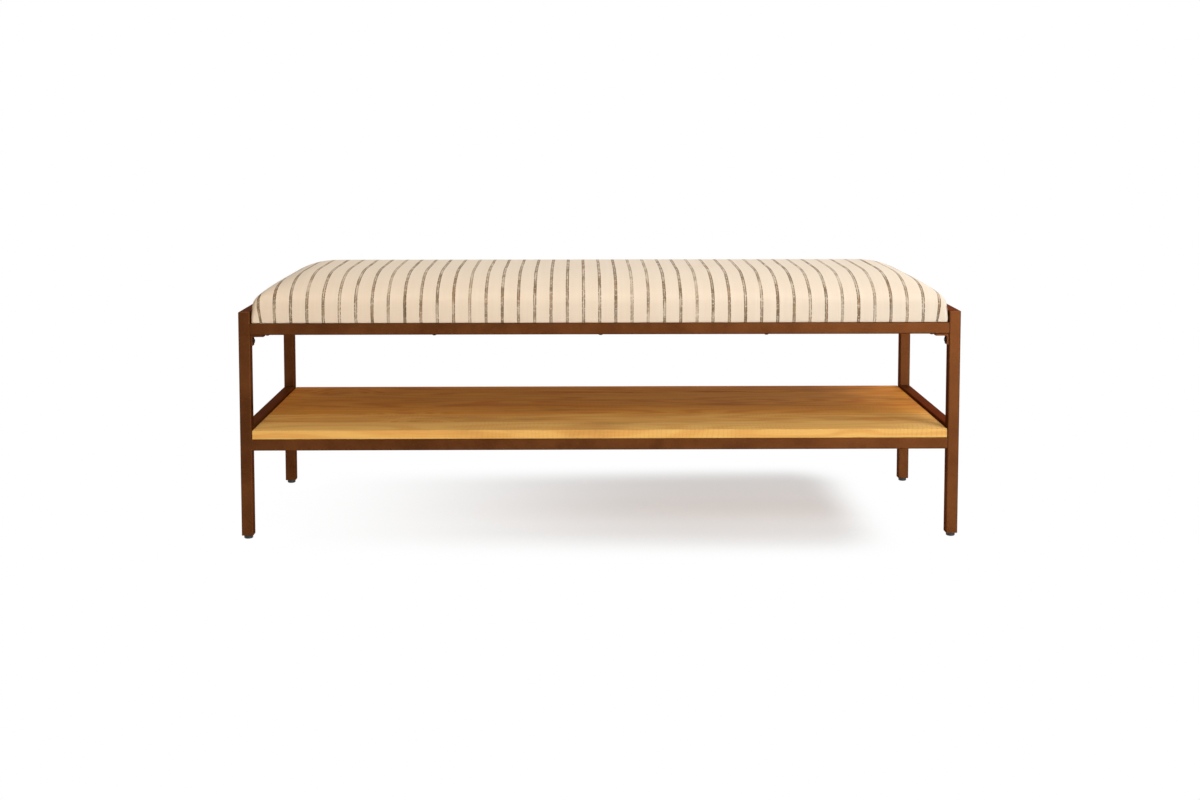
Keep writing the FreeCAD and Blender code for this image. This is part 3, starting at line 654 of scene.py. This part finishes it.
streaks = cloud(tree, stretch(tree, cut_place, streak_stretch), detail=3.0, roughness=0.55)
plain = mix_colour(tree, span(tree, weave["Slub"], 0.34, 0.66), linen_low, linen_high)
streaked = mix_colour(tree, span(tree, streaks, 0.40, 0.68, to_high=0.45), plain, linen_streak)
aged = mix_colour(tree, span(tree, weave["Soil"], 0.50, 0.80, to_high=0.12), streaked, linen_soiled)
line_yarn = mix_colour(tree, stripe_mood, yarn_darkest, yarn_dark)
band_yarn = mix_colour(tree, span(tree, along_stripe(6.7, 40.0), 0.36, 0.66), yarn_mid, yarn_pale)
strength = span(tree, stripe_mood, 0.5, 1.0, to_low=1.0, to_high=0.70)
band_share = calc(tree, "MULTIPLY", calc(tree, "MULTIPLY", flecked_band, band_tone), strength)
banded = mix_colour(tree, band_share, aged, band_yarn)
striped = mix_colour(tree, calc(tree, "MULTIPLY", threads, strength), banded, line_yarn)
thread_height = calc(tree, "MULTIPLY_ADD", weave["Slub"], 0.8, weave["Relief"])
feed(tree, shader, {
    "Base Color": striped,
    "Roughness": span(tree, weave["Slub"], 0.3, 0.7, to_low=0.78, to_high=0.94),
    "Normal": bump(tree, thread_height, strength=0.11, distance=0.0004)})
pad_mesh.materials.append(striped_cloth)
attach(seat_pad, "bench")
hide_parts("seat_cover", "seat_foam")


# Dust cover. A thin sheet of black spun-bonded cloth that closes the underside of the seat, pulled straight
# and held by staples along its edges, with a trace of sag between them.

sheet_low, sheet_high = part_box("dust_cover")
sheet_half_length = sheet_high.x
sheet_half_depth = sheet_high.y
sheet_level = (sheet_low.z + sheet_high.z) / 2
sheet_sag = 0.0022
ripple_height = 0.0003
ripple_long = 71.0
ripple_deep = 23.0
sheet_form = bmesh.new()
bmesh.ops.create_grid(sheet_form, x_segments=96, y_segments=32, size=1.0)
for vert in sheet_form.verts:
    share_x, share_y = vert.co.x, vert.co.y
    sag = sheet_sag * (1.0 - share_x ** 4) * (1.0 - share_y ** 2)
    held = (1.0 - share_x ** 8) * (1.0 - share_y ** 8)
    ripple = ripple_height * math.sin(share_x * ripple_long) * math.sin(share_y * ripple_deep) * held
    vert.co = Vector((share_x * sheet_half_length, share_y * sheet_half_depth, sheet_level - sag + ripple))
for face in sheet_form.faces:
    face.smooth = True
bmesh.ops.recalc_face_normals(sheet_form, faces=sheet_form.faces)
sheet_mesh = bpy.data.meshes.new("underside_sheet")
sheet_form.to_mesh(sheet_mesh)
sheet_form.free()
underside_sheet = bpy.data.objects.new("underside_sheet", sheet_mesh)
scene.collection.objects.link(underside_sheet)
thickness = underside_sheet.modifiers.new("thickness", "SOLIDIFY")
thickness.thickness = sheet_high.z - sheet_low.z
thickness.offset = 0.0

felt_dark = colour(24, 24, 25)
felt_light = colour(54, 53, 53)
dust_cloth, tree, shader = new_material("dust_cloth", {"Specular IOR Level": 0.15, "Sheen Weight": 0.10})
place = object_place(tree)
web = cloud(tree, place, scale=420.0, detail=4.0, roughness=0.7)
dimple = shader_node(tree, "ShaderNodeTexVoronoi", {"Vector": place, "Scale": 520.0, "Randomness": 0.15})
dots = span(tree, dimple.outputs["Distance"], 0.20, 0.42)
feed(tree, shader, {
    "Base Color": mix_colour(tree, span(tree, web, 0.35, 0.70), felt_dark, felt_light),
    "Roughness": span(tree, web, 0.30, 0.70, to_low=0.80, to_high=0.94),
    "Normal": bump(tree, calc(tree, "MULTIPLY_ADD", web, 0.5, dots), strength=0.30, distance=0.0004)})
sheet_mesh.materials.append(dust_cloth)
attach(underside_sheet, "bench")
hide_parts("dust_cover")
dress(bright_steel, ["staples"])


# Studio. A pale floor, white to the camera outside the bench's shade and left open round the feet, in a white
# surround that lights dimly and warmly from the left. Soft lamps stand high on the right, low on the right
# for gloss alone, overhead, on the left as a warm fill that leaves no highlights, and behind.

def seen_white(tree, rays):
    """Picks the rays that meet plain white: the camera's own, and glossy or transmitted ones."""
    bounced = calc(tree, "MAXIMUM", rays.outputs["Is Glossy Ray"], rays.outputs["Is Transmission Ray"])
    return calc(tree, "MAXIMUM", rays.outputs["Is Camera Ray"], bounced)


floor_half = 30.0
floor_matt = (0.76, 0.80, 0.86, 1.0)
plain_white = (1.0, 1.0, 1.0, 1.0)
shade_left = -0.85
shade_deepest = 0.42
shade_right = 0.60
shade_inner = 0.18
shade_outer = 0.40
glow_in_shade = 0.50
foot_low, foot_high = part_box("front_right_foot_pad")
foot_middle = (foot_low + foot_high) / 2
foot_place = (foot_middle.x, abs(foot_middle.y), 0.0)
open_inner = 0.060
open_outer = 0.110
floor_form = bmesh.new()
bmesh.ops.create_grid(floor_form, x_segments=1, y_segments=1, size=floor_half)
floor_mesh = bpy.data.meshes.new("floor")
floor_form.to_mesh(floor_mesh)
floor_form.free()
floor = bpy.data.objects.new("floor", floor_mesh)
scene.collection.objects.link(floor)
floor_paint = bpy.data.materials.new("floor_paint")
floor_paint.use_nodes = True
tree = floor_paint.node_tree
tree.nodes.clear()
place = object_place(tree)
rays = shader_node(tree, "ShaderNodeLightPath")
ground = shader_node(tree, "ShaderNodeSeparateXYZ", {0: place})
shade_long = calc(tree, "MULTIPLY", span(tree, ground.outputs["X"], shade_left, shade_deepest),
                  span(tree, ground.outputs["X"], shade_right, shade_deepest))
shade_deep = span(tree, calc(tree, "ABSOLUTE", ground.outputs["Y"]), shade_outer, shade_inner)
shade = calc(tree, "MULTIPLY", shade_long, shade_deep)
glow = calc(tree, "MULTIPLY", span(tree, shade, 0.0, 1.0, to_low=1.0, to_high=glow_in_shade),
            seen_white(tree, rays))
matt = shader_node(tree, "ShaderNodeBsdfDiffuse", {"Color": floor_matt})
white = shader_node(tree, "ShaderNodeEmission", {"Color": plain_white, "Strength": 1.0})
faded = shader_node(tree, "ShaderNodeMixShader", {0: glow, 1: matt.outputs[0], 2: white.outputs[0]})
quarter = shader_node(tree, "ShaderNodeVectorMath", {0: place}, operation="ABSOLUTE").outputs[0]
from_foot = shader_node(tree, "ShaderNodeVectorMath", {0: quarter, 1: foot_place}, operation="DISTANCE")
near_foot = span(tree, from_foot.outputs["Value"], open_outer, open_inner)
opened = calc(tree, "MULTIPLY", near_foot, rays.outputs["Is Camera Ray"])
clear = shader_node(tree, "ShaderNodeBsdfTransparent")
surface = shader_node(tree, "ShaderNodeMixShader", {0: opened, 1: faded.outputs[0], 2: clear.outputs[0]})
shader_node(tree, "ShaderNodeOutputMaterial", {"Surface": surface.outputs[0]})
floor_mesh.materials.append(floor_paint)

light_left = 0.12
light_right = 0.42
tint_left = (1.0, 0.80, 0.55, 1.0)
tint_right = (1.0, 0.96, 0.90, 1.0)
world = bpy.data.worlds.new("studio")
scene.world = world
world.use_nodes = True
tree = world.node_tree
tree.nodes.clear()
rays = shader_node(tree, "ShaderNodeLightPath")
towards = shader_node(tree, "ShaderNodeTexCoord").outputs["Generated"]
to_right = shader_node(tree, "ShaderNodeSeparateXYZ", {0: towards}).outputs["X"]
around = shader_node(tree, "ShaderNodeBackground", {
    "Color": mix_colour(tree, span(tree, to_right, -1.0, 1.0), tint_left, tint_right),
    "Strength": span(tree, to_right, -1.0, 1.0, to_low=light_left, to_high=light_right)})
backdrop = shader_node(tree, "ShaderNodeBackground", {"Color": plain_white, "Strength": 1.0})
sky = shader_node(tree, "ShaderNodeMixShader", {
    0: seen_white(tree, rays), 1: around.outputs[0], 2: backdrop.outputs[0]})
shader_node(tree, "ShaderNodeOutputWorld", {"Surface": sky.outputs[0]})


def soft_lamp(name, place, aim, size, power, tint):
    lamp = bpy.data.lights.new(name, "AREA")
    lamp.shape = "RECTANGLE"
    lamp.size, lamp.size_y = size
    lamp.energy = power
    lamp.color = tint
    holder = bpy.data.objects.new(name, lamp)
    holder.location = place
    holder.rotation_euler = (Vector(aim) - Vector(place)).to_track_quat("-Z", "Y").to_euler()
    scene.collection.objects.link(holder)
    return holder


soft_lamp("front_lamp", place=(2.0, -2.3, 2.3), aim=(0.2, 0.0, 0.3), size=(1.4, 1.4),
          power=64.0, tint=(0.95, 0.98, 1.0))
sheen_lamp = soft_lamp("sheen_lamp", place=(1.6, -2.9, 0.45), aim=(0.5, 0.0, 0.3), size=(0.8, 0.6),
                       power=45.0, tint=(1.0, 0.98, 0.96))
sheen_lamp.visible_diffuse = False
soft_lamp("top_lamp", place=(0.7, -0.3, 3.0), aim=(0.1, 0.0, 0.3), size=(1.6, 1.6),
          power=14.0, tint=(1.0, 0.99, 0.98))
left_lamp = soft_lamp("left_lamp", place=(-1.0, -2.8, 1.8), aim=(-0.2, 0.0, 0.3), size=(1.2, 1.2),
                      power=21.0, tint=(1.0, 0.70, 0.36))
left_lamp.visible_glossy = False
soft_lamp("back_lamp", place=(1.5, 3.1, 2.5), aim=(0.0, 0.0, 0.3), size=(1.4, 1.4),
          power=34.0, tint=(1.0, 0.98, 0.95))

camera_place = (-0.0413, -3.0799, 0.8172)
camera_dip = 0.0722
camera_turn = -0.0140
camera_data = bpy.data.cameras.new("camera")
camera_data.sensor_width = 36.0
camera_data.lens = 45.43
camera_data.shift_y = -0.15
camera_data.clip_end = 100.0
camera = bpy.data.objects.new("camera", camera_data)
camera.location = camera_place
camera.rotation_euler = (math.pi / 2 - camera_dip, 0.0, camera_turn)
scene.collection.objects.link(camera)
scene.camera = camera
scene.view_settings.view_transform = "Standard"
